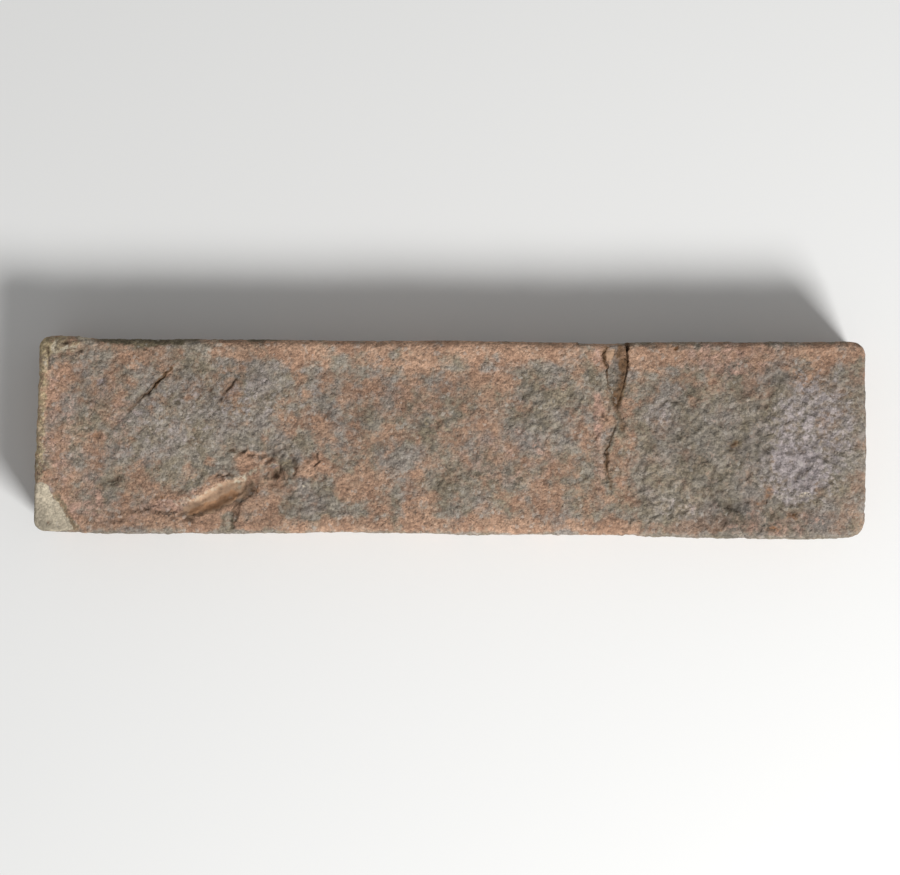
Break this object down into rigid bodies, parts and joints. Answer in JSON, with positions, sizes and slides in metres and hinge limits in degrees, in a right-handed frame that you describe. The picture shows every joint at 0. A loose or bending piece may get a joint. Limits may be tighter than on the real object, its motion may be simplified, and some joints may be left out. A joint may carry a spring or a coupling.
{
  "type": "thin brick",
  "caption": "Slip sawn from the face of a hand-moulded, sanded facing brick, with a drying crack, a drag gouge and a spalled corner, to be bonded to a wall by its flat sawn back.",
  "frame": {"origin": "middle of the flat sawn back, in the plane that lies against the wall", "axes": "+X along the length of the face, +Y up the height of the face as it stands in the wall, +Z out of the wall, from the sawn back to the moulded face"},
  "size_m": [0.2098, 0.05, 0.022],
  "materials": {
    "fired_clay": "matte sanded fired clay, orange-brown body under a grey-green and lilac-grey moulding sand"
  },
  "bodies": {
    "root": {"thin_brick": "fired_clay"}
  },
  "joints": []
}
